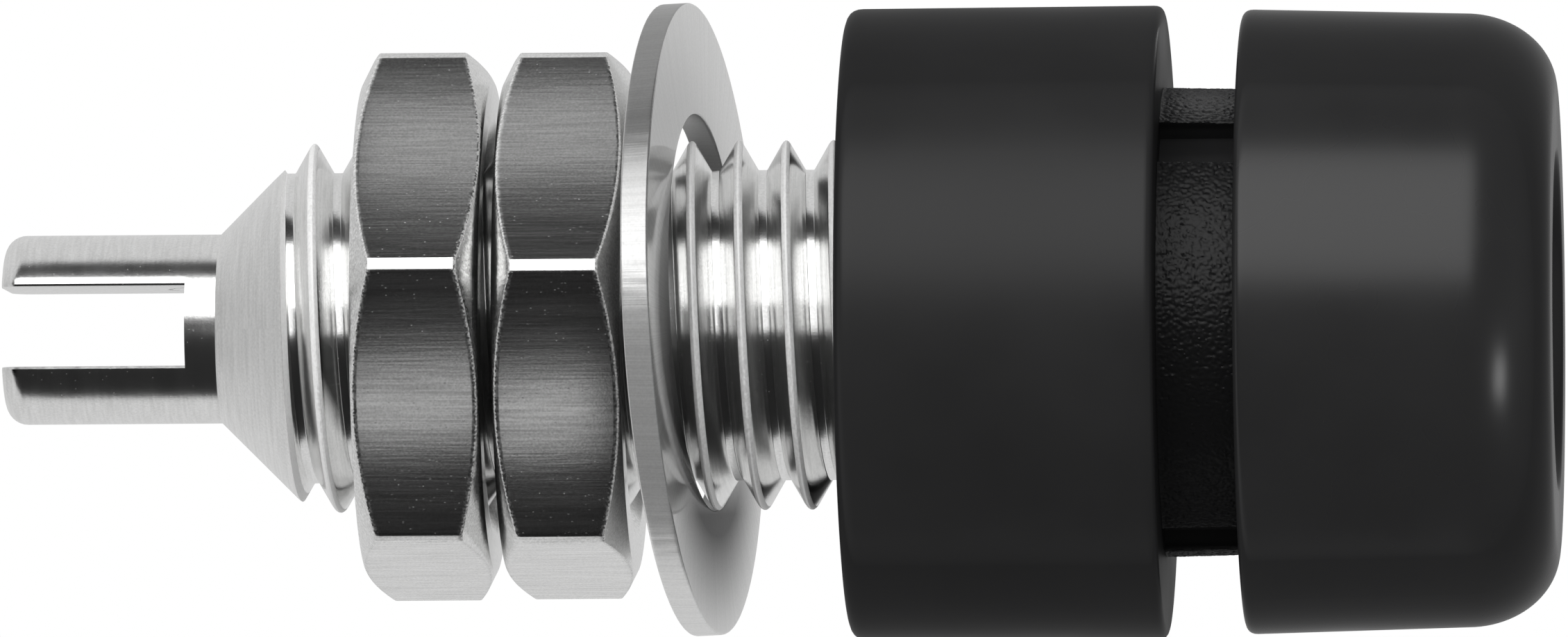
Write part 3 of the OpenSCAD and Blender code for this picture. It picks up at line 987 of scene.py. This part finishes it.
def studio_surround():
    """White behind the object and dark in front of it, as the plated metal shows it; the camera sees white."""
    world = bpy.data.worlds.new("studio")
    bpy.context.scene.world = world
    world.use_nodes = True
    tree = world.node_tree
    tree.nodes.clear()
    sideways, back, _ = add_node(tree, "SeparateXYZ", {0: add_node(tree, "TexCoord").outputs["Generated"]}).outputs
    rightward = value_of(tree, "MAXIMUM", sideways, 0.0)
    leftward = value_of(tree, "MAXIMUM", times(tree, sideways, -1.0), 0.0)
    depth = value_of(tree, "ADD", back, times(tree, leftward, LEFT_REACH))
    depth = value_of(tree, "SUBTRACT", depth, times(tree, rightward, RIGHT_REACH))
    level = ranged(tree, depth, FRONT_LEVEL, BACK_LEVEL, BACK_DEPTH, "SMOOTHSTEP")
    right_light = times(tree, value_of(tree, "POWER", rightward, SIDE_FALL), SIDE_LEVEL)
    left_shade = times(tree, value_of(tree, "POWER", leftward, LEFT_FALL), LEFT_SHADE)
    level = value_of(tree, "SUBTRACT", value_of(tree, "ADD", level, right_light), left_shade)
    path = add_node(tree, "LightPath").outputs
    mirrored = value_of(tree, "MAXIMUM", path["Is Glossy Ray"], path["Is Transmission Ray"])
    fill, seen, white = (add_node(tree, "Background", {"Color": (1, 1, 1, 1), "Strength": strength}).outputs[0]
                         for strength in (FILL_LEVEL, level, 1.0))
    lit = add_node(tree, "MixShader", {0: mirrored, 1: fill, 2: seen}).outputs[0]
    shown = add_node(tree, "MixShader", {0: path["Is Camera Ray"], 1: lit, 2: white}).outputs[0]
    tree.links.new(shown, tree.nodes.new("ShaderNodeOutputWorld").inputs[0])


def pale_floor():
    """A pale round floor under the object that fades into the white surround and is clear from below."""
    shape = bmesh.new()
    bmesh.ops.create_circle(shape, cap_ends=True, segments=FLOOR_SIDES, radius=FLOOR_R * MM)
    mesh = bpy.data.meshes.new("floor")
    shape.to_mesh(mesh)
    shape.free()
    floor = bpy.data.objects.new("floor", mesh)
    floor.location = (AIM[0] * MM, 0, cad_box[0].z - FLOOR_GAP * MM)
    bpy.context.scene.collection.objects.link(floor)
    finish = bpy.data.materials.new("pale_floor")
    finish.use_nodes = True
    tree = finish.node_tree
    tree.nodes.clear()
    _, along, back, _ = object_place(tree)
    past_end = value_of(tree, "SUBTRACT", value_of(tree, "ABSOLUTE", along), FLOOR_STRAIGHT * MM)
    beside = add_node(tree, "CombineXYZ", {0: value_of(tree, "MAXIMUM", past_end, 0.0), 1: back}).outputs[0]
    away = add_node(tree, "VectorMath", {0: beside}, operation="LENGTH").outputs["Value"]
    fade = ranged_mm(tree, away, 0.0, 1.0, FLOOR_FADE, "SMOOTHSTEP")
    below = add_node(tree, "NewGeometry").outputs["Backfacing"]
    gone = value_of(tree, "MAXIMUM", fade, below)
    matt = add_node(tree, "BsdfDiffuse", {"Color": FLOOR_WHITE}).outputs[0]
    clear = add_node(tree, "BsdfTransparent").outputs[0]
    shown = add_node(tree, "MixShader", {0: gone, 1: matt, 2: clear}).outputs[0]
    tree.links.new(shown, tree.nodes.new("ShaderNodeOutputMaterial").inputs[0])
    mesh.materials.append(finish)
    floor.visible_glossy = False
    floor.visible_diffuse = False
    floor.visible_shadow = False


def softbox(name, place, azimuth, elevation, distance, size, radiance, reaches=None):
    """A rectangular lamp that faces a place on the object, set by its direction and distance from there. It
    lights the pieces that it reaches, or all of them if none are named."""
    width, height = (length * MM for length in size)
    lamp = bpy.data.lights.new(name, "AREA")
    lamp.shape = "RECTANGLE"
    lamp.size, lamp.size_y = width, height
    lamp.energy = radiance * math.pi * width * height
    made = bpy.data.objects.new(name, lamp)
    bpy.context.scene.collection.objects.link(made)
    away = direction(azimuth, elevation)
    made.location = (Vector(place) + away * distance) * MM
    made.rotation_mode = "QUATERNION"
    made.rotation_quaternion = away.to_track_quat("Z", "Y")
    made.visible_camera = False
    if reaches:
        reached = bpy.data.collections.new(name + "_reaches")
        for piece in reaches:
            reached.objects.link(piece)
        made.light_linking.receiver_collection = reached


# Finishes of this socket
marks = tool_marks_group()
grain = grain_group()
# On the turned plate, the crest and the cone's cut edge are whitened as a painted highlight. The same places are
# duller as worn metal.
turned_plate = plated_metal(
    "turned_plate", marks, grain, dark=(0.79, 0.79, 0.785), pale=(0.94, 0.94, 0.935), roughness=(0.16, 0.19),
    lines=dict(along_scale=16000, across_scale=16000, turn_scale=2, flat_scale=0), line_depth=0.0005,
    grains=dict(slow_scale=3000, speck_scale=30000, speck_share=0.01, speck_draw=1.0), grain_depth=0.0004,
    dull=[(crest_wear_and_highlight_mask, 0.35, 0.0), (tail_mask, 0.03, 1)], ripple_depth=0.002, line_mask=streak_mask,
    painted_light=(crest_wear_and_highlight_mask, (0.98, 0.98, 0.975)))
nut_plate = plated_metal(
    "nut_plate", marks, grain, dark=(0.64, 0.64, 0.635), pale=(0.96, 0.96, 0.955), roughness=(0.14, 0.17),
    lines=dict(along_scale=900, across_scale=0, turn_scale=0, flat_scale=26000), line_depth=0.00035,
    grains=dict(speck_scale=36000, speck_share=0.035, speck_draw=0.5), grain_depth=0.0003,
    dull=[(edge_mask, 0.3, 0.4)])
# The washer's dark colour is painted shade high on the rim and in the hole, and painted shadow round the hole below
# it.
washer_plate = plated_metal(
    "washer_plate", marks, grain, dark=(0.78, 0.78, 0.775), pale=(0.92, 0.92, 0.915), roughness=(0.5, 0.53),
    lines=dict(along_scale=100, across_scale=100, turn_scale=250, flat_scale=0), line_depth=0.001,
    grains=dict(slow_scale=1500, speck_scale=20000, speck_share=0.03, speck_draw=1.0), grain_depth=0.0002,
    dull=[(rim_mask, -0.22, 0.7)], ripple_depth=0.001, line_mask=rim_mask,
    painted_light=(painted_shade_mask, (0.06, 0.06, 0.06)), coat=(bright_face, 0.06, 1.9))
head_black = black_moulding("head_black", grain, dark=(0.021, 0.021, 0.0215), pale=(0.024, 0.024, 0.0245),
                            roughness=(0.25, 0.3), gloss=0.5, fine_depth=0.0001)
# The bush's neck is painted darker: painted shade of its recess between the collar and the head.
bush_black = black_moulding("bush_black", grain, dark=(0.02, 0.02, 0.0205), pale=(0.0235, 0.0235, 0.024),
                            roughness=(0.37, 0.43), gloss=0.32, fine_depth=0.00025, neck_shade=neck_mask)

# Pieces
contact_piece = contact_body(turned_plate)
head_piece = head(head_black)
bush_piece = rear_bush(bush_black)
washer(washer_plate)
front_nut = hex_nut("front_hex_nut", "front_nut", FRONT_NUT_TURN, nut_plate)
rear_nut = hex_nut("rear_hex_nut", "rear_nut", REAR_NUT_TURN, nut_plate)

# Light and camera
photo_camera()
studio_surround()
pale_floor()
softbox("front_softbox", (-87.32, 0, 0.105), azimuth=0, elevation=40.5, distance=300, size=(340, 286), radiance=1.8)
softbox("head_lamp", (4.3, -3.7, -0.9), azimuth=45, elevation=-18, distance=25, size=(5, 6), radiance=6.5,
        reaches=[head_piece])
softbox("front_nut_card", (-11.2, -3.8, -1.45), azimuth=-3.4, elevation=-35.6, distance=10, size=(2, 1.2),
        radiance=0.5, reaches=[front_nut])
softbox("rear_nut_card", (-13.1, -3.8, -1.2), azimuth=-3.4, elevation=-34.6, distance=10, size=(3, 1.3),
        radiance=0.45, reaches=[rear_nut])
softbox("nut_top_card", (-12.2, -2.58, 3.06), azimuth=0, elevation=84.9, distance=10, size=(5, 1.5),
        radiance=0.35, reaches=[front_nut, rear_nut])
softbox("rear_thread_card", (-14.8, -2.7, 0), azimuth=0, elevation=5.5, distance=10, size=(2.4, 3.7),
        radiance=1.35, reaches=[contact_piece])
softbox("front_thread_card", (-7.15, -2.7, 0), azimuth=0, elevation=5.5, distance=10, size=(3.1, 3.7),
        radiance=1.2, reaches=[contact_piece])
softbox("neck_lamp", (-0.6, -0.39, 3.7), azimuth=0, elevation=84, distance=1.1, size=(0.9, 2.2), radiance=4.6,
        reaches=[bush_piece])

bpy.context.scene.view_settings.view_transform = "Standard"
